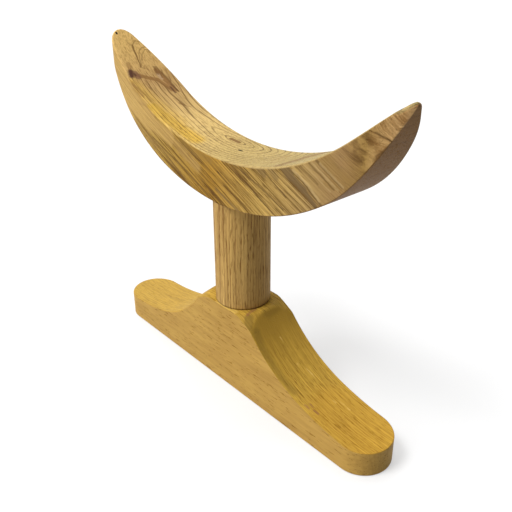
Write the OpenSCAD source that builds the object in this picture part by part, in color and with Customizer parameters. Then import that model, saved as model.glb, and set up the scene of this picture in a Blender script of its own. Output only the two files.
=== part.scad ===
// Wooden headrest: a crescent saddle on a round post, which stands on a long swept foot.
// X runs along the foot and the saddle, Y across them and Z up from the floor.
// The origin is under the post's axis, on the face that the foot rests on.

/* [Foot] */
// Length of the foot over its half-round ends
foot_length = 253.1; // [230:0.1:320]
// Width of the foot
foot_width = 36.4; // [36:0.1:50]
// Height of the flat seat that the post stands on
seat_height = 61; // [56:0.1:70]
// Distance from the post's axis to where a sweep leaves the seat
seat_half = 23.2; // [20:0.1:28]
// Radius of the eased rim round the seat, at the level of the seat
rim_radius = 23.4; // [20:0.1:30]
// Growth of the rim's radius for each millimetre below the seat
rim_slope = 1.56; // [1:0.01:2.5]
// Depth below the seat to which the rim is eased
rim_drop = 10; // [6:0.1:12]

/* [Right sweep] */
// Height of the foot where the sweep runs level
right_low = 16.9; // [12:0.1:22]
// Distance from the end of the foot to where the sweep runs level
right_level_inset = 0.1; // [0.1:0.1:20]
// Distance from the edge of the seat to where the steep arc runs into the long one
right_turn = 52.4; // [45:0.1:60]
// Height of that point above the level one
right_turn_rise = 7.15; // [4:0.05:10]

/* [Left sweep] */
// Height of the foot where the sweep runs level
left_low = 17.5; // [12:0.1:22]
// Distance from the end of the foot to where the sweep runs level
left_level_inset = 10.2; // [0.1:0.1:20]
// Distance from the edge of the seat to where the steep arc runs into the long one
left_turn = 52.5; // [45:0.1:60]
// Height of that point above the level one
left_turn_rise = 4.6; // [3:0.05:8]

/* [Post] */
// Diameter of the post
post_diameter = 36; // [30:0.1:40]
// Length of the post that shows between the foot and the saddle
post_length = 71.1; // [50:0.1:110]
// Diameter of the tenon in the foot
foot_tenon_diameter = 22; // [16:0.1:26]
// Length of the tenon in the foot
foot_tenon_length = 35; // [20:0.1:45]
// Diameter of the tenon in the saddle
saddle_tenon_diameter = 20; // [14:0.1:24]
// Length of the tenon in the saddle
saddle_tenon_length = 20; // [12:0.1:22]
// Chamfer at the end of each tenon
tenon_chamfer = 1.2; // [0.5:0.1:2]

/* [Joints] */
// Gap round each tenon and above the coped shoulder, filled by the glue
glue_gap = 0.1; // [0.05:0.01:0.3]
// Space between the end of a tenon and the bottom of its mortise
end_space = 1.2; // [0.5:0.1:3]

/* [Saddle] */
// Depth of the saddle, from front to back
saddle_depth = 36.2; // [34:0.1:50]
// Thickness of the saddle in the middle
middle_thickness = 29.3; // [26:0.1:36]
// Reach of each arm, to where the cradle and the underside would meet
arm_reach = 123.6; // [115:0.1:130]
// Height of that line above the floor of the cradle that the head lies in
cradle_rise = 56; // [45:0.1:65]
// Distance from the middle to where the underside turns up into the arm
arm_turn = 87.1; // [75:0.1:95]
// Height of that turn above the lowest line of the underside
arm_turn_rise = 27.4; // [22:0.1:32]
// How far the middle of the saddle lies to the right of the post's axis
saddle_offset = -1.3; // [-4:0.1:4]

/* [Left tip from above] */
// Radius of the round tip
left_tip_radius = 10.5; // [8:0.1:12]
// How far the middle of the tip lies towards the back
left_tip_skew = -2.8; // [-4:0.1:4]
// Distance from the end of the tip to where the cradle and the underside would meet
left_tip_trim = 0.7; // [0.5:0.1:4]
// Length over which the front is drawn in to the tip
left_front_taper = 70; // [18:0.1:90]
// Length over which the back is drawn in to the tip
left_back_taper = 43.7; // [18:0.1:90]

/* [Right tip from above] */
// Radius of the round tip
right_tip_radius = 10; // [8:0.1:12]
// How far the middle of the tip lies towards the back
right_tip_skew = 0.4; // [-4:0.1:4]
// Distance from the end of the tip to where the cradle and the underside would meet
right_tip_trim = 0.9; // [0.5:0.1:4]
// Length over which the front is drawn in to the tip
right_front_taper = 23.2; // [18:0.1:90]
// Length over which the back is drawn in to the tip
right_back_taper = 60.7; // [18:0.1:90]

/* [Hidden] */
$fn = 240;
// Length by which a cutting tool runs past the wood
spare = 1;
post_radius = post_diameter / 2;
underside_height = seat_height + post_length;
cradle_floor = underside_height + middle_thickness;

// Radius of the arc that is level at the origin and passes through the point [x, z].
function level_radius(x, z) = (x ^ 2 + z ^ 2) / (2 * z);

// Centre of the arc that ends at the point p and runs smoothly, at the point meet,
// into an arc with the centre c.
function blend_centre(c, meet, p) =
    let (normal = (c - meet) / norm(c - meet))
    let (chord = p - meet)
    meet + normal * (chord * chord) / (2 * (chord * normal));

// One half of the foot from the side, from the post's axis to just past x = end.
module foot_half(end, low, level_inset, turn, turn_rise) {
    seat_edge = [seat_half, seat_height];
    level_x = end - level_inset;
    meet = [seat_half + turn, low + turn_rise];
    long_radius = level_radius(level_x - meet.x, turn_rise);
    long_centre = [level_x, low + long_radius];
    steep_centre = blend_centre(long_centre, meet, seat_edge);
    difference() {
        square([meet.x, seat_height]);
        translate(steep_centre) circle(r = norm(seat_edge - steep_centre));
    }
    difference() {
        translate([meet.x, 0]) square([end + spare - meet.x, seat_height]);
        translate(long_centre) circle(r = long_radius);
    }
}

// The foot from the side: the two sweeps differ a little, as shaped by hand.
module foot_side() {
    end = foot_length / 2;
    foot_half(end, right_low, right_level_inset, right_turn, right_turn_rise);
    mirror([1, 0]) foot_half(end, left_low, left_level_inset, left_turn, left_turn_rise);
}

// The foot from above, with its half-round ends
module foot_plan() {
    straight = foot_length - foot_width;
    square([straight, foot_width], center = true);
    for (side = [-1, 1])
        translate([side * straight / 2, 0]) circle(d = foot_width);
}

// Wood that is taken off the four corners round the seat
module rim_ease() {
    corner_reach = norm([seat_half, foot_width]) + rim_slope * rim_drop;
    translate([0, 0, seat_height - rim_drop]) difference() {
        cylinder(r = corner_reach, h = rim_drop + spare);
        translate([0, 0, -spare])
            cylinder(
                r1 = rim_radius + rim_slope * (rim_drop + spare),
                r2 = rim_radius - 2 * rim_slope * spare,
                h = rim_drop + 3 * spare
            );
    }
}

// Extrudes a side view through the given depth, half of it on each side of the X axis
module across(depth) {
    translate([0, depth / 2, 0]) rotate([90, 0, 0]) linear_extrude(depth) children();
}

// Blind mortise for a tenon: it stands on z = 0 and is open below.
module mortise(diameter, length) {
    translate([0, 0, -spare])
        cylinder(d = diameter + 2 * glue_gap, h = spare + length + end_space);
}

// Round tenon that stands on z = 0, chamfered at its upper end
module tenon(diameter, length) {
    cylinder(d = diameter, h = length - tenon_chamfer);
    translate([0, 0, length - tenon_chamfer])
        cylinder(d1 = diameter, d2 = diameter - 2 * tenon_chamfer, h = tenon_chamfer);
}

// Foot: one board with two long sweeps and a blind mortise for the post
module foot() {
    color("#c29c4c") difference() {
        intersection() {
            across(foot_width + 2 * spare) foot_side();
            translate([0, 0, -spare]) linear_extrude(seat_height + 2 * spare) foot_plan();
        }
        rim_ease();
        translate([0, 0, seat_height]) mirror([0, 0, 1]) mortise(foot_tenon_diameter, foot_tenon_length);
    }
}

// Post: turned in one piece with its two tenons, its top shoulder coped to the underside
module post() {
    underside_radius = level_radius(arm_turn, arm_turn_rise);
    corner = post_radius + abs(saddle_offset);
    shoulder_rise = underside_radius - sqrt(underside_radius ^ 2 - corner ^ 2);
    color("#a98454") {
        difference() {
            translate([0, 0, seat_height]) cylinder(r = post_radius, h = post_length + shoulder_rise);
            translate([saddle_offset, 0, underside_height + underside_radius])
                across(post_diameter + 2 * spare) circle(r = underside_radius + glue_gap);
        }
        translate([0, 0, seat_height]) mirror([0, 0, 1]) tenon(foot_tenon_diameter, foot_tenon_length);
        translate([0, 0, seat_height]) tenon(saddle_tenon_diameter, post_length + saddle_tenon_length);
    }
}

// The saddle from the side: two blended arcs below, and the cradle's arc cut out above
module saddle_side() {
    tip = [arm_reach, cradle_floor + cradle_rise];
    meet = [arm_turn, underside_height + arm_turn_rise];
    underside_radius = level_radius(arm_turn, arm_turn_rise);
    underside_centre = [0, underside_height + underside_radius];
    arm_centre = blend_centre(underside_centre, meet, tip);
    cradle_radius = level_radius(arm_reach, cradle_rise);
    difference() {
        union() {
            intersection() {
                translate(underside_centre) circle(r = underside_radius);
                translate([-meet.x, 0]) square([2 * meet.x, tip.y]);
            }
            for (side = [0, 1])
                mirror([side, 0]) intersection() {
                    translate(arm_centre) circle(r = norm(tip - arm_centre));
                    translate([meet.x, 0]) square([arm_reach - meet.x, tip.y]);
                }
        }
        translate([0, cradle_floor + cradle_radius]) circle(r = cradle_radius);
    }
}

// One flank of an arm from above, with its outline on the side of positive y: an arc
// runs smoothly from the parallel part into the tip's circle, whose centre is at y = skew.
// The arc's radius is a whole number of tenths of a millimetre.
module arm_flank(tip_centre, tip_radius, skew, taper) {
    half = saddle_depth / 2;
    lift = half - skew;
    run = taper - tip_radius;
    side_x = tip_centre - run;
    side_radius = round(5 * (run ^ 2 + lift ^ 2 - tip_radius ^ 2) / (lift - tip_radius)) / 10;
    tip_start = tip_centre + run * tip_radius / (side_radius - tip_radius);
    square([side_x, half]);
    intersection() {
        translate([side_x, half - side_radius]) circle(r = side_radius);
        translate([side_x, 0]) square([tip_start - side_x, half]);
    }
}

// One arm from above, from the middle of the saddle to its round tip
module arm_plan(tip_radius, skew, trim, front_taper, back_taper) {
    tip_centre = arm_reach - trim - tip_radius;
    translate([tip_centre, skew]) circle(r = tip_radius);
    arm_flank(tip_centre, tip_radius, skew, back_taper);
    mirror([0, 1]) arm_flank(tip_centre, tip_radius, -skew, front_taper);
}

// The saddle from above: parallel in the middle, and each arm drawn in by hand to its tip
module saddle_plan() {
    arm_plan(right_tip_radius, right_tip_skew, right_tip_trim, right_front_taper, right_back_taper);
    mirror([1, 0])
        arm_plan(left_tip_radius, left_tip_skew, left_tip_trim, left_front_taper, left_back_taper);
}

// Saddle: sawn from one board, with a blind mortise for the post's upper tenon
module saddle() {
    color("#d2ae68") difference() {
        translate([saddle_offset, 0, 0]) intersection() {
            across(saddle_depth + 2 * spare) saddle_side();
            linear_extrude(cradle_floor + 2 * cradle_rise) saddle_plan();
        }
        translate([0, 0, underside_height]) mortise(saddle_tenon_diameter, saddle_tenon_length);
    }
}

foot();
post();
saddle();
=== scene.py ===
import math
import bmesh
import bpy
from mathutils import Matrix, Vector


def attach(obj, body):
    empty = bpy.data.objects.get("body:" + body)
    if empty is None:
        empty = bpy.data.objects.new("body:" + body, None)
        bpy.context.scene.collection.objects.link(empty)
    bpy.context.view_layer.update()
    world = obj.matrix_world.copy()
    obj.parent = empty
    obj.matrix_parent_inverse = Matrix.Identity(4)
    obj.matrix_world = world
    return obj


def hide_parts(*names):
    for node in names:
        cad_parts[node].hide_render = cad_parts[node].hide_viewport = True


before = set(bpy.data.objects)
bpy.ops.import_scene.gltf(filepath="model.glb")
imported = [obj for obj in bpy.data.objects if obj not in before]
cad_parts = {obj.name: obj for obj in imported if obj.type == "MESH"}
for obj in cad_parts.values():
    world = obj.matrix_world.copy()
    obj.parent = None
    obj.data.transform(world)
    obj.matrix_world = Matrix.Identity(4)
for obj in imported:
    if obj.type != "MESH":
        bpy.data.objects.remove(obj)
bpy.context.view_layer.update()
mm = 0.001
print("headrest: frame loaded")


# Shapes that the three pieces share
meshing = {
    "boreSegments": 64,
    "weld": 0.002 * mm,  # vertices closer than this become one
    "sharpFrom": 38,  # degrees between two faces, from which their edge stays sharp
    "onShoulder": 0.01 * mm,  # vertices this near the post's upper shoulder are coped
}


def levelRadius(x, z):
    # radius of the arc that is level at the origin and passes through x, z
    return (x * x + z * z) / (2 * z)


def blendCentre(centre, meet, end):
    # centre of the arc that ends at end and runs smoothly, at meet, into an arc round centre
    normal = (centre - meet).normalized()
    chord = end - meet
    return meet + normal * chord.length_squared / (2 * chord.dot(normal))


def lowerArc(centre, radius, x):
    # height of the lower half of a circle at x
    return centre.y - math.sqrt(max(radius * radius - (x - centre.x) ** 2, 0))


def easedMin(a, b, width):
    # the lower of two heights, with the crease between them rounded over width
    near = max(width - abs(a - b), 0) / width
    return min(a, b) - near * near * width / 4


def easeStep(low, high, x):
    t = min(max((x - low) / (high - low), 0), 1)
    return t * t * (3 - 2 * t)


def cutBlock(cuts):
    # a cube from -1 to 1 with its faces cut into a grid
    size = 2
    bm = bmesh.new()
    bmesh.ops.create_cube(bm, size=size)
    for axis in range(3):
        along = [e for e in bm.edges if abs(e.verts[0].co[axis] - e.verts[1].co[axis]) > size / 2]
        bmesh.ops.subdivide_edges(bm, edges=along, cuts=cuts[axis] - 1, use_grid_fill=True)
    return bm


def roundEnd(half, centre, radius, skew, tapers):
    # one end of a board from above: at the front (-1) and the back (1) an arc runs smoothly
    # from the parallel edge into the round tip
    flanks = {}
    for side, taper in tapers.items():
        lift, run = half - side * skew, taper - radius
        arc = (run ** 2 + lift ** 2 - radius ** 2) / (2 * (lift - radius)) if run > 0 else 0
        flanks[side] = (centre - run, arc)
    return {"half": half, "centre": centre, "radius": radius, "skew": skew, "flanks": flanks}


def endEdge(end, side, x):
    # distance of the edge from the middle line, at x from the middle of the board
    begin, arc = end["flanks"][side]
    return end["half"] if x <= begin else end["half"] - arc + math.sqrt(arc ** 2 - (x - begin) ** 2)


def endReach(end, side, angle):
    # distance of the edge from the centre of the round tip; the angle is 0 along the board
    begin, arc = end["flanks"][side]
    away = Vector((end["centre"] - begin, side * end["skew"] - end["half"] + arc))
    if arc == 0 or angle <= math.atan2(away.y, away.x):
        return end["radius"]
    toward = away.dot(Vector((math.cos(angle), math.sin(angle))))
    return -toward + math.sqrt(toward ** 2 - away.length_squared + arc ** 2)


def easedPlank(shape):
    # a board with round ends, cut to an outline from above and to two heights,
    # whose upper and lower arrises are eased by a quarter round; each row of vertices in its
    # wall lies at a share of the wall's height, moved up or down a little
    stations, wall = shape["stations"], shape["wallStops"]
    endCells, rings, inner = shape["endCells"], shape["rings"], shape["innerCells"]
    middle = len(stations) - 1
    rows = 2 * (inner + rings)
    bm = cutBlock((middle + 2 * endCells, rows, len(wall) + 1))

    def place(i, j, ease):
        out = abs(j - rows // 2)
        side = 1 if j > rows // 2 else -1
        into = endCells - i if i < endCells else max(i - endCells - middle, 0)
        x = stations[min(max(i - endCells, 0), middle)]
        way = -1 if x < shape["middle"] else 1
        end = shape["ends"][way]
        ring = min(rings, inner + rings - out, endCells - into)
        turn = ring / rings * math.pi / 2
        easing = ease(x + way * end["radius"] * into / endCells, side)
        inset = easing * (1 - math.cos(turn))
        drop = easing * (1 - math.sin(turn))
        b = out / inner if ring == rings else min(1, out / (inner + rings - ring))
        if into:
            a = into / (endCells - rings) if ring == rings else min(1, into / (endCells - ring))
            ahead, aside = a * math.sqrt(1 - b * b / 2), b * math.sqrt(1 - a * a / 2)
            angle, share = math.atan2(aside, ahead), math.hypot(ahead, aside)
            reach = share * (endReach(end, side, angle) - inset)
            x += way * reach * math.cos(angle)
            y = end["skew"] + side * reach * math.sin(angle)
        else:
            distance = abs(x - shape["middle"])
            line = end["skew"] * easeStep(0, end["centre"], distance)
            y = line + side * b * (endEdge(end, side, distance) - side * line - inset)
        return x, y, drop, easing

    for v in bm.verts:
        i = round((v.co.x + 1) / 2 * (middle + 2 * endCells))
        j = round((v.co.y + 1) / 2 * rows)
        k = round((v.co.z + 1) / 2 * (len(wall) + 1))
        xLow, yLow, dropLow, easeLow = place(i, j, shape["easeLow"])
        xTop, yTop, dropTop, easeTop = place(i, j, shape["easeTop"])
        if k == 0:
            v.co = (xLow, yLow, shape["low"](xLow, yLow) + dropLow)
        elif k == len(wall) + 1:
            v.co = (xTop, yTop, shape["top"](xTop, yTop) - dropTop)
        else:
            low = shape["low"](xTop, yTop) + easeLow
            high = shape["top"](xTop, yTop) - easeTop
            share, offset = wall[k - 1]
            v.co = (xTop, yTop, low + share * (high - low) + offset)
    return bm


def boreOut(bm, radius, low, high):
    # a blind mortise, cut by a cylinder
    tool = bmesh.new()
    bmesh.ops.create_cone(tool, cap_ends=True, segments=meshing["boreSegments"],
                          radius1=radius, radius2=radius, depth=high - low)
    bmesh.ops.translate(tool, verts=tool.verts, vec=(0, 0, (low + high) / 2))
    cutter = newPiece("mortiseCutter", tool)
    body = newPiece("boredBody", bm)
    cut = body.modifiers.new("mortise", "BOOLEAN")
    cut.operation = "DIFFERENCE"
    cut.object = cutter
    bored = bmesh.new()
    bored.from_mesh(body.evaluated_get(bpy.context.evaluated_depsgraph_get()).to_mesh())
    for spent in (cutter, body):
        bpy.data.objects.remove(spent)
    return bored


def newPiece(name, bm):
    mesh = bpy.data.meshes.new(name)
    bm.to_mesh(mesh)
    bm.free()
    piece = bpy.data.objects.new(name, mesh)
    bpy.context.scene.collection.objects.link(piece)
    bpy.context.view_layer.update()
    return piece


def finishPiece(name, bm, node, material):
    bmesh.ops.remove_doubles(bm, verts=bm.verts, dist=meshing["weld"])
    bmesh.ops.recalc_face_normals(bm, faces=bm.faces)
    for face in bm.faces:
        face.smooth = True
    piece = newPiece(name, bm)
    piece.data.set_sharp_from_angle(angle=math.radians(meshing["sharpFrom"]))
    piece.data.materials.append(material)
    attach(piece, "root")
    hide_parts(node)


# Joints
joints = {
    "seatHeight": 61 * mm,
    "underside": 132.1 * mm,
    "footTenon": (11 * mm, 35 * mm),  # radius and length
    "saddleTenon": (10 * mm, 20 * mm),
    "glueGap": 0.1 * mm,
    "endSpace": 1.2 * mm,
    "chamfer": 1.2 * mm,
    "spare": 4 * mm,
}

# Saddle
saddle = {
    "middle": -1.3 * mm,  # the saddle's middle lies a little to the left of the post's axis
    "halfDepth": 18.1 * mm,
    "thickness": 29.3 * mm,
    "armReach": 123.6 * mm,
    "cradleRise": 56 * mm,
    "armTurn": (87.1 * mm, 27.4 * mm),  # where the underside turns up into the arm
    # the round tips from above; the front and the back are drawn in to them over these lengths
    "leftTip": {
        "radius": 10.5 * mm, "skew": -2.8 * mm, "trim": 0.7 * mm,
        "front": 70 * mm, "back": 43.7 * mm,
    },
    "rightTip": {
        "radius": 10 * mm, "skew": 0.4 * mm, "trim": 0.9 * mm,
        "front": 23.2 * mm, "back": 60.7 * mm,
    },
    "arrisLeft": 2 * mm,  # the left tip is rubbed softer than the rest
    "arrisMiddle": 1.4 * mm,
    "arrisRight": 0.9 * mm,
    "arrisBack": 0.7 * mm,
    "arrisLeftNose": 1.2 * mm,
    "arrisRightNose": 3.2 * mm,  # the very end of the right tip is rounded over
    "arrisUnder": 0.6 * mm,
    # where each easing grows into the next, from -1 at the left tip to 1 at the right one
    "leftToMiddle": (-0.85, -0.3),
    "middleToRight": (0.35, 0.9),
    "toLeftNose": (-0.86, -0.99),
    "toRightNose": (0.95, 0.985),
    "cells": 120,
    "edgeRow": 0.4 * mm,  # distance from each arris to the nearest row of vertices in the wall
}


def undersideArcs(s):
    floor = joints["underside"] + s["thickness"]
    tip = Vector((s["armReach"], floor + s["cradleRise"]))
    radius = levelRadius(*s["armTurn"])
    middle = Vector((0, joints["underside"] + radius))
    meet = Vector((s["armTurn"][0], joints["underside"] + s["armTurn"][1]))
    arm = blendCentre(middle, meet, tip)
    return middle, radius, meet, arm, (tip - arm).length


def undersideHeight(x):
    middle, radius, meet, arm, armRadius = undersideArcs(saddle)
    out = abs(x - saddle["middle"])
    return lowerArc(middle, radius, out) if out < meet.x else lowerArc(arm, armRadius, out)


def cradleHeight(x):
    radius = levelRadius(saddle["armReach"], saddle["cradleRise"])
    centre = Vector((0, joints["underside"] + saddle["thickness"] + radius))
    return lowerArc(centre, radius, x - saddle["middle"])


def buildSaddle(material):
    s = saddle
    ends = {}
    for way, tip in ((-1, s["leftTip"]), (1, s["rightTip"])):
        centre = s["armReach"] - tip["trim"] - tip["radius"]
        tapers = {-1: tip["front"], 1: tip["back"]}
        ends[way] = roundEnd(s["halfDepth"], centre, tip["radius"], tip["skew"], tapers)

    def arris(x, side):
        along = (x - s["middle"]) / s["armReach"]
        front = s["arrisLeft"] + easeStep(*s["leftToMiddle"], along) * (s["arrisMiddle"] - s["arrisLeft"])
        front += easeStep(*s["middleToRight"], along) * (s["arrisRight"] - s["arrisMiddle"])
        width = front if side < 0 else s["arrisBack"]
        for growth, nose in (("toLeftNose", "arrisLeftNose"), ("toRightNose", "arrisRightNose")):
            width += easeStep(*s[growth], along) * (s[nose] - width)
        return width

    first = s["middle"] - ends[-1]["centre"]
    last = s["middle"] + ends[1]["centre"]
    cells, edgeRow = s["cells"], s["edgeRow"]
    bm = easedPlank({
        "middle": s["middle"],
        "stations": [first + (last - first) * i / cells for i in range(cells + 1)],
        "ends": ends,
        "endCells": 14,
        "rings": 5,
        "innerCells": 7,
        "wallStops": ((0, edgeRow), (0.35, 0), (0.7, 0), (1, -edgeRow)),
        "low": lambda x, y: undersideHeight(x),
        "top": lambda x, y: cradleHeight(x),
        "easeLow": lambda x, side: s["arrisUnder"],
        "easeTop": arris,
    })
    radius, length = joints["saddleTenon"]
    bm = boreOut(bm, radius + joints["glueGap"], joints["underside"] - joints["spare"],
                 joints["underside"] + length + joints["endSpace"])
    finishPiece("saddle_carved", bm, "saddle", material)


# Foot
foot = {
    "length": 253.1 * mm,
    "halfWidth": 18.2 * mm,
    "seatHalf": 23.2 * mm,
    "rimRadius": 23.4 * mm,
    "rimSlope": 1.56,
    "rimReach": 45 * mm,  # farther out than this, the rim and the seat leave the sweeps alone
    "arris": 0.5 * mm,
    "crease": 0.9 * mm,  # rounding of the creases round the seat
    "right": {"low": 16.9 * mm, "levelInset": 0.1 * mm, "turn": 52.4 * mm, "turnRise": 7.15 * mm},
    "left": {"low": 17.5 * mm, "levelInset": 10.2 * mm, "turn": 52.5 * mm, "turnRise": 4.6 * mm},
    "cells": 200,
    "spread": (0.45, 0.55),  # shares of t and of t cubed, so that the cells lie closer round the seat
    "edgeRow": 0.5 * mm,
}


def sweepHeight(f, side, out):
    # height of one swept shoulder at the distance out from the post's axis
    s = f[side]
    levelX = f["length"] / 2 - s["levelInset"]
    meet = Vector((f["seatHalf"] + s["turn"], s["low"] + s["turnRise"]))
    longRadius = levelRadius(levelX - meet.x, s["turnRise"])
    longCentre = Vector((levelX, s["low"] + longRadius))
    seatEdge = Vector((f["seatHalf"], joints["seatHeight"]))
    steep = blendCentre(longCentre, meet, seatEdge)
    if out > meet.x:
        return lowerArc(longCentre, longRadius, out)
    return lowerArc(steep, (seatEdge - steep).length, out)


def buildFoot(material):
    f = foot
    endCentre = f["length"] / 2 - f["halfWidth"]

    def top(x, y):
        sweep = sweepHeight(f, "right" if x > 0 else "left", abs(x))
        rim = joints["seatHeight"] - (math.hypot(x, y) - f["rimRadius"]) / f["rimSlope"]
        lowest = easedMin(easedMin(sweep, rim, f["crease"]), joints["seatHeight"], f["crease"])
        return sweep if abs(x) > f["rimReach"] else lowest

    cells, edgeRow = f["cells"], f["edgeRow"]
    even, cubed = f["spread"]
    stations = []
    for i in range(cells + 1):
        t = 2 * i / cells - 1
        stations.append(endCentre * (even * t + cubed * t ** 3))
    end = roundEnd(f["halfWidth"], endCentre, f["halfWidth"], 0, {-1: f["halfWidth"], 1: f["halfWidth"]})
    bm = easedPlank({
        "middle": 0,
        "stations": stations,
        "ends": {-1: end, 1: end},
        "endCells": 16,
        "rings": 4,
        "innerCells": 16,
        "wallStops": ((0, edgeRow), (0.5, 0), (1, -edgeRow)),
        "low": lambda x, y: 0,
        "top": top,
        "easeLow": lambda x, side: f["arris"],
        "easeTop": lambda x, side: f["arris"],
    })
    radius, length = joints["footTenon"]
    bm = boreOut(bm, radius + joints["glueGap"], joints["seatHeight"] - length - joints["endSpace"],
                 joints["seatHeight"] + joints["spare"])
    finishPiece("foot_carved", bm, "foot", material)


# Post
post = {
    "radius": 18 * mm,
    "baseEase": 0.4 * mm,
    "segments": 128,
}


def buildPost(material):
    # half the turned outline, from the tip of the lower tenon to the tip of the upper one, spun round Z
    seat, shoulder, gap = joints["seatHeight"], joints["underside"], joints["glueGap"]
    footRadius, footLength = joints["footTenon"]
    saddleRadius, saddleLength = joints["saddleTenon"]
    c, r, e = joints["chamfer"], post["radius"], post["baseEase"]
    bend = 0.3 * e  # the middle of a quarter round
    outline = [
        (0, seat - footLength), (footRadius - c, seat - footLength), (footRadius, seat - footLength + c),
        (footRadius, seat), (r - e, seat), (r - bend, seat + bend), (r, seat + e), (r, seat + 2 * e),
        (r, (seat + shoulder) / 2), (r, shoulder - 2 * e), (r, shoulder),
        (saddleRadius, shoulder), (saddleRadius, shoulder + saddleLength - c),
        (saddleRadius - c, shoulder + saddleLength), (0, shoulder + saddleLength),
    ]
    bm = bmesh.new()
    points = [bm.verts.new((x, 0, z)) for x, z in outline]
    edges = [bm.edges.new(pair) for pair in zip(points, points[1:])]
    bmesh.ops.spin(bm, geom=points + edges, cent=(0, 0, 0), axis=(0, 0, 1), angle=2 * math.pi,
                   steps=post["segments"], use_merge=True)
    for v in bm.verts:
        if abs(v.co.z - shoulder) < meshing["onShoulder"]:
            v.co.z = undersideHeight(v.co.x) - gap  # the shoulder is coped to the saddle's underside
    finishPiece("post_turned", bm, "post", material)


# Materials

def linearColour(code):
    # sRGB hex to linear, as the sockets want it
    parts = [int(code[i:i + 2], 16) / 255 for i in (1, 3, 5)]
    return tuple(c / 12.92 if c <= 0.04045 else ((c + 0.055) / 1.055) ** 2.4 for c in parts) + (1.0,)


def addNode(tree, kind, inputs=(), stops=(), **settings):
    # one node with its settings, links and colour stops; an input is a value, a hex colour,
    # an output, or another node, which gives its first output in use
    node = tree.nodes.new("ShaderNode" + kind)
    for key, value in settings.items():
        setattr(node, key, value)
    if not isinstance(inputs, dict):
        inputs = dict(enumerate(inputs))
    for key, value in inputs.items():
        if isinstance(value, bpy.types.Node):
            value = next(out for out in value.outputs if out.enabled)
        if isinstance(value, bpy.types.NodeSocket):
            tree.links.new(value, node.inputs[key])
        else:
            node.inputs[key].default_value = linearColour(value) if isinstance(value, str) else value
    for i, (position, code) in enumerate(stops):
        stop = node.color_ramp.elements[i] if i < 2 else node.color_ramp.elements.new(position)
        stop.position = position
        stop.color = linearColour(code)
    return node


def newMaterial(name):
    material = bpy.data.materials.new(name)
    material.use_nodes = True
    return material, material.node_tree


# How the patterns of all three woods are drawn
pattern = {
    "roughness": 0.55,
    "seedAcross": 0.37,  # share of a seed that moves its noise from front to back
    "usual": (0.25, 0.75),  # nearly all of a noise lies between these
    "darkest": 0.88,  # share of the year at which the late wood is darkest
    "yearEnd": 0.94,  # share of the year from which it breaks off
    "leastRadius": 0.01,  # mm, at the pith
}


def newWood(name):
    # a material, its nodes, and the place of each point of its piece in mm
    material, tree = newMaterial(name)
    metres = addNode(tree, "TexCoord").outputs["Object"]
    place = addNode(tree, "VectorMath", {0: metres, "Scale": 1 / mm}, operation="SCALE")
    return material, tree, place


def fibreFrame(tree, place, pith, slope):
    # in mm: X runs along the fibres, which rise by slope degrees towards +X, and Y and Z go out from the pith
    angle = math.radians(slope)
    shift = -(Matrix.Rotation(angle, 3, "Y") @ Vector(pith))
    return addNode(tree, "Mapping", {"Vector": place, "Rotation": (0, angle, 0), "Location": shift[:]})


def drawnOut(tree, fibre, g):
    # noise drawn out along the fibre: its size in mm is g["long"] along it, g["wide"] from front to back
    # and g["deep"], or "wide" again, up and down
    sizes = (1 / g["long"], 1 / g["wide"], 1 / g.get("deep", g["wide"]))
    shift = (g["seed"], pattern["seedAcross"] * g["seed"], -g["seed"])
    moved = addNode(tree, "VectorMath", (fibre, sizes, shift), operation="MULTIPLY_ADD")
    return addNode(tree, "TexNoise", {"Vector": moved, "Scale": 1.0, "Detail": g.get("detail", 1.0),
                                      "Roughness": pattern["roughness"]})


def addGrain(tree, tone, fibre, grains):
    # each grain darkens or lightens the tone where its noise goes from "low" to "high"
    for g in grains:
        share = addNode(tree, "MapRange", (drawnOut(tree, fibre, g), g["low"], g["high"], 0.0, g["amount"]))
        tone = addNode(tree, "Math", (tone, share), operation="ADD")
    return tone


def growthRings(tree, fibre, rings, crowd=0.0):
    # 0 in the pale early wood, up to 1 in the thin dark late wood at the end of each year;
    # crowd, in mm, bends the rings round a knot
    flat = addNode(tree, "VectorMath", (fibre, (0, 1, 1)), operation="MULTIPLY")
    radius = addNode(tree, "VectorMath", (flat,), operation="LENGTH")
    for wave in rings["waves"]:
        span = (drawnOut(tree, fibre, wave), *pattern["usual"], -wave["shift"], wave["shift"])
        moved = addNode(tree, "MapRange", span, clamp=False)
        radius = addNode(tree, "Math", (radius, moved), operation="ADD")
    radius = addNode(tree, "Math", (radius, crowd), operation="ADD")
    radius = addNode(tree, "Math", (radius, pattern["leastRadius"]), operation="MAXIMUM")
    years = addNode(tree, "Math", (radius, rings["growth"]), operation="POWER")
    years = addNode(tree, "Math", (years, rings["rate"], rings["first"]), operation="MULTIPLY_ADD")
    season = addNode(tree, "Math", (years,), operation="FRACT")
    span = (season, rings["lateFrom"], pattern["darkest"], 0.0, 1.0)
    rise = addNode(tree, "MapRange", span, interpolation_type="SMOOTHSTEP")
    fall = addNode(tree, "MapRange", (season, pattern["yearEnd"], 1.0, 1.0, 0.0))
    late = addNode(tree, "Math", (rise, fall), operation="MULTIPLY")
    year = addNode(tree, "Math", (years,), operation="FLOOR")
    weather = addNode(tree, "TexWhiteNoise", {"W": year}, noise_dimensions="1D")
    strength = addNode(tree, "MapRange", (weather, 0.0, 1.0, rings["faint"], 1.0))
    return addNode(tree, "Math", (late, strength), operation="MULTIPLY")


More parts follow.
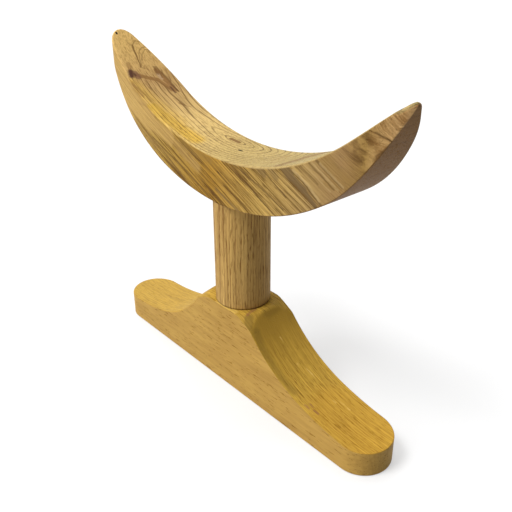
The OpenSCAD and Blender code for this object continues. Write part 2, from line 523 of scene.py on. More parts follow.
def nearPath(tree, place, radius, soft, share, path):
    # share within radius of a path from place to place, falling to 0 over soft, all in mm
    nearest = None
    for start, stop in zip(path, path[1:]):
        a, along = Vector(start), Vector(stop) - Vector(start)
        perLength = along / along.length_squared
        fromA = addNode(tree, "VectorMath", (place, a[:]), operation="SUBTRACT")
        part = addNode(tree, "VectorMath", (fromA, perLength[:]), operation="DOT_PRODUCT")
        part = addNode(tree, "Clamp", (part, 0.0, 1.0))
        reached = addNode(tree, "VectorMath", {0: along[:], "Scale": part}, operation="SCALE")
        gap = addNode(tree, "VectorMath", (fromA, reached), operation="DISTANCE")
        nearest = addNode(tree, "Math", (nearest, gap), operation="MINIMUM") if nearest else gap
    span = (nearest, radius, radius + soft, share, 0.0)
    return addNode(tree, "MapRange", span, interpolation_type="SMOOTHSTEP")


def together(tree, place, lines):
    # the greatest of several masks along paths
    mask = None
    for line in lines:
        near = nearPath(tree, place, *line)
        mask = addNode(tree, "Math", (mask, near), operation="MAXIMUM") if mask else near
    return mask


def paintMarks(tree, colour, place, marks):
    # the lines are grouped by colour, because with a mix for each the graph grows too large to render
    for code, lines in marks:
        colour = addNode(tree, "Mix", {0: together(tree, place, lines), 6: colour, 7: code}, data_type="RGBA")
    return colour


def strayPlace(tree, place, size, reach):
    # the place, moved a little here and there, so that what is drawn from it has uneven edges
    stray = addNode(tree, "TexNoise", {"Vector": place, "Scale": 1 / size, "Detail": 2.0})
    offset = addNode(tree, "VectorMath", (stray.outputs["Color"], (0.5, 0.5, 0.5)), operation="SUBTRACT")
    return addNode(tree, "VectorMath", (offset, (2 * reach,) * 3, place), operation="MULTIPLY_ADD")


def oiledSurface(tree, colour, pores, finish):
    # thin oil on sanded wood: satin between the pores, dull and sunk in them
    shader = tree.nodes["Principled BSDF"]
    rough = addNode(tree, "MapRange", (pores, 0.0, 1.0, finish["rough"], finish["roughPores"]))
    depth = finish["poreDepth"] * mm
    bump = addNode(tree, "Bump", {"Strength": 1.0, "Distance": depth, "Height": pores}, invert=True)
    tree.links.new(next(o for o in colour.outputs if o.enabled), shader.inputs["Base Color"])
    tree.links.new(rough.outputs[0], shader.inputs["Roughness"])
    tree.links.new(bump.outputs[0], shader.inputs["Normal"])
    shader.inputs["IOR"].default_value = finish["ior"]
    shader.inputs["Specular IOR Level"].default_value = finish["gloss"]


# What the oil leaves on all three pieces
oil = {
    "ior": 1.47,  # linseed oil
    "gloss": 0.15,  # the oil has sunk in, so it shines much less than a coat would
    "rough": 0.55,
    "roughPores": 0.8,
    "poreDepth": 0.15,  # mm
}

# Saddle: straw-brown wood with its pith, a knot and two beetle holes, sawn across the fibre's slope
saddleWood = {
    "pith": (-15, 8.5, 162),  # where the pith comes out of the cradle, in mm
    "ringSlope": -21.5,  # degrees
    "fibreSlope": -25,
    "halfLength": 125.0,  # mm, to which the shares of the length below are taken
    "stray": (5, 1.2),  # mm: the zones' edges stray in waves of 5 mm, by up to 1.2 mm
    "uneven": (3, 0.5),  # and those of the marks less
    "rings": {
        "growth": 1.05, "rate": 0.33, "first": 0.02,  # about 2.7 mm a year
        "lateFrom": 0.7, "faint": 0.5,
        "waves": (
            {"long": 70, "wide": 24, "seed": 3.1, "shift": 0.7},
            {"long": 22, "wide": 8, "seed": 5.3, "shift": 0.35},
        ),
    },
    # what late wood adds to the tone, and the tone of early wood
    "cradleTone": (-0.95, 0.72),
    "frontTone": (-0.3, 0.46),
    # the pores are some 0.2 mm wide: they are drawn three times coarser, so that they show
    "cradleGrain": (
        {"long": 30, "wide": 1.0, "seed": 1.7, "low": 0.36, "high": 0.64, "amount": 0.26},
        {"long": 40, "wide": 9, "seed": 2.9, "detail": 2.0, "low": 0.3, "high": 0.7, "amount": 0.26},
        {"long": 60, "wide": 0.8, "seed": 3.7, "low": 0.5, "high": 0.62, "amount": -0.38},
        {"long": 6, "wide": 0.7, "seed": 8.3, "low": 0.6, "high": 0.7, "amount": -0.28},
    ),
    # on the front the grain hardly changes from front to back, so its lines run on round the tips
    "frontGrain": (
        {"long": 160, "wide": 40, "deep": 7, "seed": 4.4, "low": 0.36, "high": 0.64, "amount": 0.18},
        {"long": 90, "wide": 40, "deep": 2, "seed": 6.1, "low": 0.36, "high": 0.64, "amount": 0.2},
        {"long": 70, "wide": 30, "deep": 0.9, "seed": 3.3, "low": 0.36, "high": 0.64, "amount": 0.26},
        {"long": 50, "wide": 30, "deep": 0.8, "seed": 7.9, "low": 0.46, "high": 0.62, "amount": -0.6},
        {"long": 7, "wide": 7, "deep": 0.65, "seed": 9.2, "low": 0.56, "high": 0.66, "amount": -0.3},
    ),
    "stripeGrain": (
        {"long": 24, "wide": 24, "deep": 1.1, "seed": 5.2, "low": 0.38, "high": 0.6, "amount": 0.55},
        {"long": 12, "wide": 12, "deep": 0.6, "seed": 6.6, "low": 0.4, "high": 0.6, "amount": 0.45},
    ),
    "mottle": {
        "long": 7, "wide": 20, "deep": 3.6, "seed": 2.2, "detail": 4.0,
        "low": 0.36, "high": 0.6, "amount": 1.0,
    },
    "pores": {"long": 6, "wide": 0.7, "seed": 9.2, "low": 0.56, "high": 0.68, "amount": 1.0},
    # colours along the saddle, from the left tip (0) to the right one (1), dark and light
    "cradleDark": (
        (0.0, "#9C7335"), (0.14, "#6D4C21"), (0.3, "#7D6235"), (0.5, "#6A532B"), (0.75, "#65542E"),
    ),
    "cradleLight": (
        (0.0, "#E4BD71"), (0.14, "#AE8B54"), (0.3, "#CBAC6C"), (0.5, "#B1995E"), (0.75, "#A38F5B"),
    ),
    # colours of the painted sheen on the cradle
    "yellowDark": "#775716", "yellowLight": "#C49D37",
    "frontDark": (
        (0.14, "#8A6423"), (0.28, "#6F4E17"), (0.47, "#5A3A06"), (0.64, "#664819"),
        (0.8, "#6E5125"), (0.88, "#6C4D2A"), (0.93, "#65471D"), (0.98, "#AB763A"),
    ),
    "frontLight": (
        (0.14, "#D4B162"), (0.28, "#BE9A47"), (0.47, "#B5882E"), (0.64, "#CCA758"),
        (0.8, "#B4945A"), (0.88, "#A78553"), (0.93, "#A78447"), (0.98, "#FFD08D"),
    ),
    "bandDark": "#B08C4E", "bandLight": "#CBA761",
    # painted shade: the darker colours of the faces that look down
    "shadedUnderDark": "#5F4120", "shadedUnderLight": "#9D7541",
    # painted highlight colour of the upper arrises
    "arrisHighlightColour": "#A88E5C",
    # where each mask begins and where it is whole, by the surface's normal or the share of the length
    "above": (0.3, 0.5),
    "below": (-0.25, -0.35),
    # painted highlight on the upper arrises of the right half
    "highlightAcross": (0.2, 0.45),
    "highlightUp": (0.12, 0.3),
    "highlightAlong": (0.42, 0.6),
    "highlightShare": 0.65,
    # painted shade round the nose of the right tip
    "noseOutward": (0.5, 0.58),
    "noseAlong": (0.9, 0.92),
    "noseLean": (0, -1.5, 1),  # the nose ends on a plane that leans over the right tip
    "nose": 212.4,  # mm
    "noseSoft": 0.5,
    "calmTone": 0.75,
    "underCalm": (0.75, 0.45),  # the tone below goes 0.75 of the way to 0.45
    # each line of a zone or a mark: radius and soft edge in mm, share, and the places that it runs through
    "knotCrowd": (0, 8, 1.2, ((-97, -11, 192), (-82, 8, 183))),
    "ringsEnd": (0.1, 0.126),  # shares of the length between which the rings begin
    "paleBand": (
        (12, 4, 0.85, ((-118, -10, 200), (-101, -15, 180))),
        (6.5, 4, 0.85, ((-98, -15, 180), (-72, -18, 169))),
        (3.2, 4, 0.8, ((-72, -18, 168), (-48, -18, 162))),
        (0.5, 5, 0.6, ((-48, -18, 162), (-20, -18, 150))),
    ),
    "calm": (
        (5, 6, 0.65, ((78, -18, 174), (90, -18, 162))),
        (5, 5, 0.6, ((90, -18, 188), (101, -17.8, 176))),
    ),
    "swirl": ((5, 4, 0.85, ((107, -16.5, 194), (111, -15, 188))),),
    "paintedSheen": (
        # painted sheen: a lustrous yellow patch along the near half of the cradle
        (2, 8, 0.5, ((-90, -17, 187.2), (-81, -14, 182), (-70, -11, 177), (-52, -9, 170))),
        (2.6, 6, 0.85, ((-69, -14.5, 176), (-45, -12, 167), (-30, -11.5, 164))),
    ),
    "stripeSlope": -54,  # degrees
    "stripes": ((6.5, 2.5, 0.9, ((113.5, -10, 209), (119, -6, 203))),),
    "frontMarks": (
        ("#8A6B34", (  # broad shades
            (2.2, 4, 0.5, ((84, -18, 183), (98, -18, 175))),
            (1.4, 3, 0.5, ((-89, -16, 163), (-66, -18, 152))),
            (1, 4, 0.5, ((-34, -18, 161), (-8, -18, 158))),
            (1.5, 2.5, 0.45, ((83.4, -18, 181.5), (92.5, -18, 173.8))),
            (0.8, 2, 0.5, ((86, -18, 171), (95, -18, 171))),
        )),
        ("#6C5534", (  # a dark wedge, with two small dark fans beside it
            (2.2, 1.8, 0.8, ((56, -18, 171.5), (61, -18, 168))),
            (1.4, 1.4, 0.8, ((60, -18, 168.5), (71, -18, 163))),
            (0.8, 1.2, 0.75, ((70, -18, 163.5), (79, -18, 157))),
            (1.6, 2, 0.5, ((33, -18, 166.5), (40, -18, 163.5))),
            (1.2, 2, 0.5, ((44, -18, 168.5), (50, -18, 164))),
            (0.4, 1.4, 0.5, ((-2, -18, 141), (18, -18, 134))),
        )),
        ("#5E4320", (  # fine dark streaks
            (0.15, 0.75, 0.8, ((66, -18, 170), (84, -18, 158))),
            (0.15, 0.75, 0.65, ((73.3, -18, 178.5), (83.2, -18, 173.7), (91.5, -18, 169.4))),
            (0.3, 0.9, 0.6, ((78.7, -18, 181), (84.3, -18, 178.1), (96.5, -18, 172))),
            (0.15, 0.75, 0.5, ((67.8, -18, 175.1), (74.3, -18, 172.2), (80.7, -18, 169.3))),
            (0.1, 0.7, 0.7, ((111, -14.8, 202), (115, -11.5, 199.5), (118, -8.5, 197))),
            (0.15, 0.75, 0.75, ((14, -18, 161.5), (36, -18, 155), (56, -18, 147))),
            (0.15, 0.75, 0.7, ((38, -18, 166), (44, -18, 162.5), (58, -18, 155))),
            (0.15, 0.75, 0.7, ((32, -18, 150), (48, -18, 142))),
            (0.15, 0.75, 0.6, ((-80, -17, 161), (-54, -18, 150), (-34, -18, 138))),
            (0.15, 0.75, 0.55, ((-68, -18, 157), (-30, -18, 144), (-8, -18, 133))),
        )),
        ("#C9AB74", (  # light streaks right of the wedge
            (0.3, 1.1, 0.45, ((63, -18, 171.5), (74, -18, 166.5), (82, -18, 160.5))),
            (0.2, 0.9, 0.35, ((76.1, -18, 179), (85.9, -18, 174), (94.1, -18, 170))),
            (0.2, 0.9, 0.4, ((81.5, -18, 180.2), (89, -18, 176.4), (97.1, -18, 172.4))),
            (0.2, 0.8, 0.25, ((70.6, -18, 176.4), (80.6, -18, 171.9), (89, -18, 167.6))),
        )),
    ),
    "cradleMarks": (
        ("#7F5829", (  # brown: the leaf-shaped patch, the streak from the knot, and mottling near the front
            (1.2, 1.5, 0.85, ((-96.5, 6.9, 191.6), (-90.9, 7.9, 187.9), (-85.6, 8.7, 184.6),
                              (-79.6, 9.3, 181.2))),
            (0.9, 1.4, 0.85, ((-90, 2.9, 187.4), (-84.2, 5.6, 183.8), (-79.8, 7.3, 181.3))),
            (0.9, 1.3, 0.85, ((-95.5, -9, 191), (-93.2, -4.5, 189.4), (-90, 1.9, 187.3))),
            (0.8, 1.6, 0.5, ((-103.5, -10, 197.2), (-99.2, -11.1, 193.7))),
            (1.2, 2.6, 0.35, ((-90.4, -17.5, 187.6), (-86.8, -16.6, 185.3), (-81.5, -15.4, 182.3))),
            (0.1, 0.7, 0.5, ((-65.4, 6.4, 174.4), (-62.3, 9.5, 173.1))),
            (0.1, 0.7, 0.45, ((-68.3, 4.2, 175.7), (-73, 3.4, 178))),
            (0.3, 1.2, 0.4, ((31.5, -4, 164.7), (31, 4, 164.6), (33, 10, 165))),
            (0.3, 1.2, 0.35, ((32, -10, 164.9), (37, -6, 165.9), (39.5, -1, 166.5))),
        )),
        ("#AB8D66", (  # the pale middle of the patch
            (0.7, 1.2, 0.8, ((-93.2, 5.9, 189.4), (-90.2, 6.3, 187.4))),
        )),
        ("#6E4A30", (  # the red-brown side of the knot
            (1.5, 1.7, 0.8, ((-96.7, -9.6, 191.9), (-94.2, -9.2, 190.1))),
        )),
        ("#69471C", (  # dark lines: the rings where the pith goes back into the wood, the patch's edge, and a band across the cradle
            (0.1, 0.7, 0.55, ((-115.4, 7.2, 207.4), (-116.6, 4.5, 208.6), (-114.3, 0.8, 206.4))),
            (0.2, 0.8, 0.85, ((-114.3, 0.8, 206.4), (-111.7, -0.3, 203.9), (-107, -0.9, 199.8))),
            (0.15, 0.75, 0.85, ((-107, -0.9, 199.8), (-103, -1.8, 196.6), (-100.3, -2.7, 194.5))),
            (0.15, 0.75, 0.45, ((-100.3, -2.7, 194.5), (-98.6, -1, 193.3), (-100.6, 0.4, 194.9))),
            (0.05, 0.7, 0.55, ((-101, -1.4, 195), (-106.8, 0.7, 199.6), (-110.4, 3.1, 202.7))),
            (0.05, 0.7, 0.55, ((-110.4, 3.1, 202.7), (-111.9, 5.8, 204.1), (-112.2, 9.2, 204.4),
                               (-111.1, 12.4, 203.4))),
            (0.05, 0.7, 0.55, ((-104.6, 1.3, 197.9), (-108.3, 4.2, 200.9), (-110.7, 7.7, 203))),
            (0.05, 0.7, 0.55, ((-110.7, 7.7, 203), (-110.2, 10.1, 202.6), (-107.4, 10.1, 200.2))),
            (0.1, 0.7, 0.4, ((-117.6, -1.9, 209.5), (-114.5, -1, 206.6))),
            (0.1, 0.7, 0.75, ((-98.9, 6, 193.5), (-98.6, 8.6, 193.3), (-93.7, 9.4, 189.8))),
            (0.3, 0.9, 0.8, ((-93.7, 9.4, 189.8), (-88.7, 10.4, 186.5), (-83.6, 10.8, 183.4),
                             (-77.6, 10.9, 180.1))),
            (0.1, 0.7, 0.6, ((-89.6, 1.6, 187.1), (-85.9, 3.7, 184.8), (-80.9, 6.5, 181.9))),
            (0.5, 1.2, 0.65, ((-98.4, 7.2, 193.1), (-93.9, 6, 189.8))),
            (0.15, 0.75, 0.65, ((-95.6, 8.4, 191.2), (-90.6, 7.4, 187.9))),
            (0.5, 1.1, 0.65, ((-67.6, 4.8, 175.4), (-65.4, 6.4, 174.4))),
            (0.15, 0.75, 0.4, ((-91, -16, 188), (-85.8, -14.8, 184.7), (-80, -13.2, 181.3),
                               (-74, -13.6, 178.2))),
            (0.1, 0.7, 0.35, ((-84.8, -18, 184.2), (-82.4, -15.9, 182.8), (-78.6, -15.2, 180.6))),
            (0.9, 1.1, 0.9, ((-19.4, 8.2, 162), (-12.2, 8.5, 162))),
            # a brown band across the cradle, near x = 50 mm
            (2.2, 2.4, 0.6, ((48, -13, 168.9), (50, 4, 169.6), (53, 13.5, 170.4))),
        )),
        ("#47260F", (  # the head of the knot, and the forked end of the patch
            (0.7, 2.2, 1, ((-98.6, -11.8, 193.2), (-95.4, -13.2, 190.9))),
            (0.2, 1.5, 0.8, ((-96.8, -10.6, 192), (-95.8, -10.4, 191.3))),
            (0.3, 0.9, 0.8, ((-82.3, 8.1, 182.7), (-77.3, 8.2, 180))),
            (0.2, 0.8, 0.6, ((-84.4, 9.8, 183.9), (-78.6, 11, 180.6))),
        )),
    ),
    "holes": (  # two beetle holes, 1.5 mm wide
        ("#1A100A", (
            (0.45, 0.5, 1, ((-122, -6.2, 214.2), (-121.6, -6.2, 213.6))),
            (0.45, 0.5, 1, ((-2.2, 0, 161.4), (0.3, 0.2, 161.4))),
        )),
    ),
}


def buildSaddleWood(name):
    w = saddleWood
    material, tree, place = newWood(name)
    stray = strayPlace(tree, place, *w["stray"])
    uneven = strayPlace(tree, place, *w["uneven"])
    fibre = fibreFrame(tree, place, w["pith"], w["fibreSlope"])
    facing = addNode(tree, "SeparateXYZ", (tree.nodes["Texture Coordinate"].outputs["Normal"],))
    up = facing.outputs["Z"]
    along = addNode(tree, "SeparateXYZ", (place,)).outputs["X"]
    along = addNode(tree, "MapRange", (along, -w["halfLength"], w["halfLength"], 0.0, 1.0))

    # the year rings, crowded round the knot
    ringFrame = fibreFrame(tree, place, w["pith"], w["ringSlope"])
    late = growthRings(tree, ringFrame, w["rings"], nearPath(tree, place, *w["knotCrowd"]))
    begun = addNode(tree, "MapRange", (along, *w["ringsEnd"], 0.0, 1.0))
    late = addNode(tree, "Math", (late, begun), operation="MULTIPLY")

    # the cradle: fine dark lines on pale wood, with a lustrous yellow patch of painted sheen
    tone = addNode(tree, "Math", (late, *w["cradleTone"]), operation="MULTIPLY_ADD")
    tone = addGrain(tree, tone, fibre, w["cradleGrain"])
    dark = addNode(tree, "ValToRGB", (along,), w["cradleDark"])
    light = addNode(tree, "ValToRGB", (along,), w["cradleLight"])
    cradle = addNode(tree, "Mix", {0: tone, 6: dark, 7: light}, data_type="RGBA")
    yellow = addNode(tree, "Mix", {0: tone, 6: w["yellowDark"], 7: w["yellowLight"]}, data_type="RGBA")
    patch = together(tree, stray, w["paintedSheen"])
    cradle = addNode(tree, "Mix", {0: patch, 6: cradle, 7: yellow}, data_type="RGBA")
    cradle = paintMarks(tree, cradle, uneven, w["cradleMarks"])

    # the front and the back: bold slanting streaks, calm in the plain places and mottled in the swirl
    tone = addNode(tree, "Math", (late, *w["frontTone"]), operation="MULTIPLY_ADD")
    tone = addGrain(tree, tone, fibre, w["frontGrain"])
    calm = together(tree, stray, w["calm"])
    tone = addNode(tree, "Mix", {0: calm, 2: tone, 3: w["calmTone"]}, data_type="FLOAT")
    mottle = addGrain(tree, 0.0, fibre, (w["mottle"],))
    swirl = together(tree, stray, w["swirl"])
    tone = addNode(tree, "Mix", {0: swirl, 2: tone, 3: mottle}, data_type="FLOAT")
    curled = addGrain(tree, 0.0, fibreFrame(tree, stray, w["pith"], w["stripeSlope"]), w["stripeGrain"])
    stripes = together(tree, stray, w["stripes"])
    tone = addNode(tree, "Mix", {0: stripes, 2: tone, 3: curled}, data_type="FLOAT")
    dark = addNode(tree, "ValToRGB", (along,), w["frontDark"])
    light = addNode(tree, "ValToRGB", (along,), w["frontLight"])
    front = addNode(tree, "Mix", {0: tone, 6: dark, 7: light}, data_type="RGBA")
    band = together(tree, stray, w["paleBand"])
    smooth = addNode(tree, "Mix", {0: tone, 6: w["bandDark"], 7: w["bandLight"]}, data_type="RGBA")
    front = addNode(tree, "Mix", {0: band, 6: front, 7: smooth}, data_type="RGBA")
    front = paintMarks(tree, front, uneven, w["frontMarks"])

    # the faces that look down are greyer and smoother, and painted darker: painted shade, as they get little
    # light
    share, level = w["underCalm"]
    tone = addNode(tree, "Mix", {0: share, 2: tone, 3: level}, data_type="FLOAT")
    shadedUnder = addNode(tree, "Mix", {0: tone, 6: w["shadedUnderDark"], 7: w["shadedUnderLight"]}, data_type="RGBA")
    below = addNode(tree, "MapRange", (up, *w["below"], 0.0, 1.0))
    above = addNode(tree, "MapRange", (up, *w["above"], 0.0, 1.0))
    colour = addNode(tree, "Mix", {0: below, 6: front, 7: shadedUnder}, data_type="RGBA")
    colour = addNode(tree, "Mix", {0: above, 6: colour, 7: cradle}, data_type="RGBA")

    # painted highlight: the upper arrises of the right half are painted paler, where the eased edge catches
    # the light
    across = addNode(tree, "Math", (facing.outputs["Y"],), operation="ABSOLUTE")
    arrisHighlight = addNode(tree, "MapRange", (across, *w["highlightAcross"], 0.0, w["highlightShare"]))
    sideways = addNode(tree, "MapRange", (up, *w["highlightUp"], 0.0, 1.0))
    rightHalf = addNode(tree, "MapRange", (along, *w["highlightAlong"], 0.0, 1.0))
    arrisHighlight = addNode(tree, "Math", (arrisHighlight, sideways), operation="MULTIPLY")
    arrisHighlight = addNode(tree, "Math", (arrisHighlight, rightHalf), operation="MULTIPLY")
    colour = addNode(tree, "Mix", {0: arrisHighlight, 6: colour, 7: w["arrisHighlightColour"]}, data_type="RGBA")

    # painted shade: the dark underside colour runs up round the nose of the right tip, where its end wall
    # turns from the lamps
    lean = addNode(tree, "VectorMath", (place, w["noseLean"]), operation="DOT_PRODUCT")
    nose = addNode(tree, "MapRange", (lean, w["nose"] - w["noseSoft"], w["nose"] + w["noseSoft"], 1.0, 0.0))
    outward = addNode(tree, "MapRange", (facing.outputs["X"], *w["noseOutward"], 0.0, 1.0))
    nose = addNode(tree, "Math", (nose, outward), operation="MULTIPLY")
    rightEnd = addNode(tree, "MapRange", (along, *w["noseAlong"], 0.0, 1.0))
    nose = addNode(tree, "Math", (nose, rightEnd), operation="MULTIPLY")
    colour = addNode(tree, "Mix", {0: nose, 6: colour, 7: shadedUnder}, data_type="RGBA")

    # beetle holes and pores
    colour = paintMarks(tree, colour, place, w["holes"])
    pores = addGrain(tree, 0.0, fibre, (w["pores"],))
    pores = addNode(tree, "Math", (pores, together(tree, place, w["holes"][0][1])), operation="MAXIMUM")
    oiledSurface(tree, colour, pores, oil)
    return material


# Post: straight-grained brown wood, turned and sanded, with long dark pores
postWood = {
    "pith": (-8, -44, 0),  # mm; the rings run out to the right of the post as regular stripes
    "fibreSlope": 90,  # degrees
    "rings": {
        "growth": 1.0, "rate": 0.55, "first": 0.0,  # 1.8 mm a year
        "lateFrom": 0.35, "faint": 0.3,
        "waves": (
            {"long": 160, "wide": 40, "seed": 3.1, "shift": 2.0},
            {"long": 45, "wide": 9, "seed": 5.3, "detail": 2.0, "shift": 0.5},
        ),
    },
    "tone": (-0.3, 0.46),
    "grain": (
        {"long": 120, "wide": 4, "seed": 2.4, "detail": 2.0, "low": 0.36, "high": 0.64, "amount": 0.2},
        {"long": 50, "wide": 1.1, "seed": 4.6, "low": 0.36, "high": 0.64, "amount": 0.2},
        {"long": 10, "wide": 0.7, "seed": 6.8, "low": 0.6, "high": 0.68, "amount": -0.36},
        {"long": 5, "wide": 0.65, "seed": 9.7, "low": 0.6, "high": 0.68, "amount": -0.2},
    ),
    "pores": {"long": 10, "wide": 0.7, "seed": 6.8, "low": 0.58, "high": 0.68, "amount": 1.0},
    # the last of these colours is painted shade where the post meets the foot
    "dark": "#6D4619", "light": "#D9B167", "contactShade": "#3E2810",
    "contactShadeHeight": (61.4, 62.4),  # mm, over which the painted contact shadow fades
    "contactShadeShare": 0.7,
}


def buildPostWood(name):
    w = postWood
    material, tree, place = newWood(name)
    fibre = fibreFrame(tree, place, w["pith"], w["fibreSlope"])
    late = growthRings(tree, fibre, w["rings"])
    tone = addNode(tree, "Math", (late, *w["tone"]), operation="MULTIPLY_ADD")
    tone = addGrain(tree, tone, fibre, w["grain"])
    colour = addNode(tree, "Mix", {0: tone, 6: w["dark"], 7: w["light"]}, data_type="RGBA")
    # painted shade: a contact shadow darkens the post where it meets the foot
    height = addNode(tree, "SeparateXYZ", (place,)).outputs["Z"]
    contactShade = addNode(tree, "MapRange", (height, *w["contactShadeHeight"], w["contactShadeShare"], 0.0))
    colour = addNode(tree, "Mix", {0: contactShade, 6: colour, 7: w["contactShade"]}, data_type="RGBA")
    oiledSurface(tree, colour, addGrain(tree, 0.0, fibre, (w["pores"],)), oil)
    return material


# Foot: a honey-yellow board, planed, with short dark pores on its sides and fine lines along its top
footWood = {
    "pith": (0, 170, 30),  # mm
    "fibreSlope": 0,  # degrees
    "stray": (5, 0.8),  # mm: the marks' edges stray in waves of 5 mm, by up to 0.8 mm
    "rings": {
        "growth": 1.0, "rate": 0.6, "first": 0.0,  # 1.7 mm a year
        "lateFrom": 0.3, "faint": 0.2,
        "waves": (
            {"long": 200, "wide": 50, "seed": 3.1, "shift": 2.0},
            {"long": 60, "wide": 9, "seed": 5.3, "detail": 2.0, "shift": 0.5},
        ),
    },
    "topTone": (-0.16, 0.3),
    "sideTone": (-0.1, 0.4),
    # on top the grain hardly changes with depth, so its lines follow the sweeps
    "topGrain": (
        {"long": 120, "wide": 4, "deep": 60, "seed": 2.4, "detail": 2.0,
         "low": 0.34, "high": 0.66, "amount": 0.14},
        {"long": 40, "wide": 0.8, "deep": 40, "seed": 4.6, "low": 0.36, "high": 0.64, "amount": 0.34},
        {"long": 9, "wide": 0.65, "deep": 9, "seed": 5.5, "low": 0.36, "high": 0.64, "amount": 0.3},
        {"long": 6, "wide": 0.7, "deep": 6, "seed": 6.8, "low": 0.57, "high": 0.67, "amount": -0.42},
    ),
    "sideGrain": (
        {"long": 60, "wide": 14, "seed": 1.3, "detail": 3.0, "low": 0.3, "high": 0.7, "amount": 0.24},
        {"long": 18, "wide": 1.6, "seed": 5.7, "detail": 2.0, "low": 0.36, "high": 0.64, "amount": 0.18},
        {"long": 6, "wide": 0.8, "seed": 7.4, "low": 0.65, "high": 0.7, "amount": -0.45},
    ),
    "pores": {"long": 6, "wide": 0.8, "seed": 7.4, "low": 0.62, "high": 0.7, "amount": 1.0},
    "topDark": "#775414", "topLight": "#C59F3F",
    "sideDark": "#8A632A", "sideLight": "#CCA554",
    "above": (0.3, 0.45),  # between these upward parts of the normal, the side gives way to the top
    "steep": (0.68, 0.9),  # and here the lines fade on the steep slopes
    "steepLines": 0.12,
    "steepTone": 0.45,
    "marks": (
        ("#AB8C48", (  # the left end is greyer
            (14, 12, 0.4, ((-118, 0, 17.5), (-70, 0, 24))),
        )),
        ("#A17014", (  # the right end is deeper in colour
            (12, 14, 0.3, ((118, 0, 17), (90, 0, 20))),
        )),
        ("#D5B35F", (  # bright lines down the long slope, and a painted highlight on the rim under the post
            (0.15, 0.7, 0.6, ((36, 0, 46.4), (59.5, 4.3, 30.2), (92.7, 5.8, 20))),
            (0.15, 0.7, 0.45, ((52, 0.5, 34.4), (84, 2.4, 21.9))),
            # painted highlight on the lit edge of the rim
            (1.0, 1.4, 0.5, ((-6, -19.4, 61), (12, -16.6, 61))),
        )),
        ("#7C6124", (  # painted shade: a darker band along the front edge of the slope, its dark upper corner, and the post's shadow on the seat to its right
            (1.2, 3, 0.5, ((29, -14, 52.8), (37.4, -15.8, 45.4), (64.6, -15.2, 27.9))),
            (1.8, 2.2, 0.7, ((21.6, -13.6, 59.6), (24.4, -16.6, 56.2), (27, -17.4, 51.6))),
            # painted shadow of the post on the seat
            (2, 3.5, 0.42, ((24.6, 0, 60), (22.8, 10, 60.4))),
        )),
        ("#87593A", (  # a few rusty scratches
            (0.2, 0.8, 0.7, ((75, -15.2, 24.4), (78, -14.8, 23.2))),
            (0.2, 0.8, 0.7, ((81, -13.2, 22.6), (84, -13, 21.9))),
            (0.1, 0.7, 0.65, ((76, -12, 24), (79, -11.6, 23))),
            (0.6, 1, 0.6, ((19.6, -12.8, 60.8), (18, -8, 61), (18.2, -5, 61))),
        )),
    ),
}


def buildFootWood(name):
    w = footWood
    material, tree, place = newWood(name)
    facing = addNode(tree, "SeparateXYZ", (tree.nodes["Texture Coordinate"].outputs["Normal"],))
    up = facing.outputs["Z"]
    fibre = fibreFrame(tree, place, w["pith"], w["fibreSlope"])
    late = growthRings(tree, fibre, w["rings"])
    tone = addNode(tree, "Math", (late, *w["topTone"]), operation="MULTIPLY_ADD")
    tone = addGrain(tree, tone, fibre, w["topGrain"])
    level = addNode(tree, "MapRange", (up, *w["steep"], w["steepLines"], 1.0))
    tone = addNode(tree, "Mix", {0: level, 2: w["steepTone"], 3: tone}, data_type="FLOAT")
    top = addNode(tree, "Mix", {0: tone, 6: w["topDark"], 7: w["topLight"]}, data_type="RGBA")
    tone = addNode(tree, "Math", (late, *w["sideTone"]), operation="MULTIPLY_ADD")
    tone = addGrain(tree, tone, fibre, w["sideGrain"])
    side = addNode(tree, "Mix", {0: tone, 6: w["sideDark"], 7: w["sideLight"]}, data_type="RGBA")
    above = addNode(tree, "MapRange", (up, *w["above"], 0.0, 1.0))
    top = paintMarks(tree, top, strayPlace(tree, place, *w["stray"]), w["marks"])
    colour = addNode(tree, "Mix", {0: above, 6: side, 7: top}, data_type="RGBA")
    oiledSurface(tree, colour, addGrain(tree, 0.0, fibre, (w["pores"],)), oil)
    return material


buildSaddle(buildSaddleWood("saddle_wood_sanded_oiled"))
buildFoot(buildFootWood("foot_wood_planed_oiled"))
buildPost(buildPostWood("post_wood_turned_oiled"))
print("headrest: pieces built")


# Stage: broad soft lamps overhead and from the front left, over a pale floor
stage = {
    "floorSize": 12,  # metres
    "floorGap": 0.2 * mm,  # the floor lies this far below the foot, so that the two faces never fight
    "floorColour": "#AAAAAA",
    "floorGlow": 0.45,  # what the eye and the gloss see is lifted to white, round the soft shadow
    "lamps": (
        {"name": "overhead", "from": (-0.31, 0, 1.37), "angle": 60, "strength": 0.95},
        {"name": "highLeft", "from": (-0.19, -0.51, 0.84), "angle": 22, "strength": 0.6},
        {"name": "lowLeft", "from": (-0.33, -0.88, 0.34), "angle": 45, "strength": 0.42},
    ),
    "fill": 0.06,  # light from the world all round
}


def seenRay(tree):
    # 1 for what the camera sees, straight or in gloss and glass
    rays = addNode(tree, "LightPath").outputs
    seen = addNode(tree, "Math", (rays["Is Camera Ray"], rays["Is Glossy Ray"]), operation="MAXIMUM")
    return addNode(tree, "Math", (seen, rays["Is Transmission Ray"]), operation="MAXIMUM")


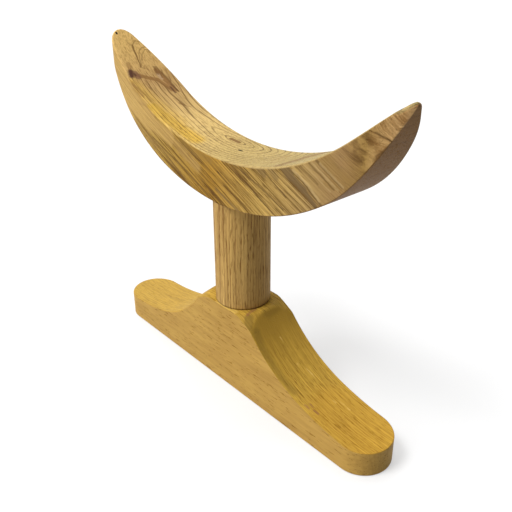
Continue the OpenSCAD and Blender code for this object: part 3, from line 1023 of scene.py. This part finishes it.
def buildStage():
    bm = bmesh.new()
    bmesh.ops.create_grid(bm, x_segments=1, y_segments=1, size=stage["floorSize"] / 2)
    bmesh.ops.translate(bm, verts=bm.verts, vec=(0, 0, -stage["floorGap"]))
    floor = newPiece("floor", bm)
    material, tree = newMaterial("floor_pale_paper")
    shader = tree.nodes["Principled BSDF"]
    shader.inputs["Base Color"].default_value = linearColour(stage["floorColour"])
    shader.inputs["Roughness"].default_value = 1.0
    shader.inputs["Specular IOR Level"].default_value = 0.0
    shader.inputs["Emission Color"].default_value = (1, 1, 1, 1)
    glow = addNode(tree, "Math", (seenRay(tree), stage["floorGlow"]), operation="MULTIPLY")
    tree.links.new(glow.outputs[0], shader.inputs["Emission Strength"])
    floor.data.materials.append(material)
    world = bpy.data.worlds.new("studio")
    world.use_nodes = True
    bpy.context.scene.world = world
    tree = world.node_tree
    level = addNode(tree, "MapRange", (seenRay(tree), 0.0, 1.0, stage["fill"], 1.0))
    tree.links.new(level.outputs[0], tree.nodes["Background"].inputs["Strength"])
    tree.nodes["Background"].inputs["Color"].default_value = (1, 1, 1, 1)
    for soft in stage["lamps"]:
        lamp = bpy.data.lights.new(soft["name"], "SUN")
        lamp.angle = math.radians(soft["angle"])
        lamp.energy = soft["strength"] * math.pi  # a strength of 1 lights white paper to 1
        held = bpy.data.objects.new(soft["name"], lamp)
        bpy.context.scene.collection.objects.link(held)
        held.location = Vector(soft["from"])
        held.rotation_euler = Vector(soft["from"]).to_track_quat("Z", "Y").to_euler()


# Camera, as fitted to the outlines in the photograph
camera = {
    "place": (296.91 * mm, -246.53 * mm, 294.72 * mm),
    "yaw": 139.047,  # degrees from +X, anticlockwise seen from above
    "pitch": 28.057,  # degrees below level
    "roll": -0.226,
    "focalPixels": 679.12,
    "framePixels": 512,
    "centrePixels": (255.82, 258.26),
    "sensorWidth": 36,  # mm
    "clipStart": 0.01,  # metres
}


def buildCamera():
    c = camera
    yaw, pitch, roll = (math.radians(c[key]) for key in ("yaw", "pitch", "roll"))
    forward = Vector((math.cos(yaw) * math.cos(pitch), math.sin(yaw) * math.cos(pitch), -math.sin(pitch)))
    level = Vector((math.sin(yaw), -math.cos(yaw), 0))
    upright = level.cross(forward)
    right = math.cos(roll) * level + math.sin(roll) * upright
    up = math.cos(roll) * upright - math.sin(roll) * level
    data = bpy.data.cameras.new("camera")
    data.sensor_fit = "HORIZONTAL"
    data.sensor_width = c["sensorWidth"]
    data.lens = c["focalPixels"] / c["framePixels"] * data.sensor_width
    data.shift_x = (c["framePixels"] / 2 - c["centrePixels"][0]) / c["framePixels"]
    data.shift_y = (c["centrePixels"][1] - c["framePixels"] / 2) / c["framePixels"]
    data.clip_start = c["clipStart"]
    eye = bpy.data.objects.new("camera", data)
    bpy.context.scene.collection.objects.link(eye)
    eye.matrix_world = Matrix.Translation(c["place"]) @ Matrix((right, up, -forward)).transposed().to_4x4()
    bpy.context.scene.camera = eye


buildStage()
buildCamera()
bpy.context.scene.view_settings.view_transform = "Standard"
print("headrest: stage and camera set")
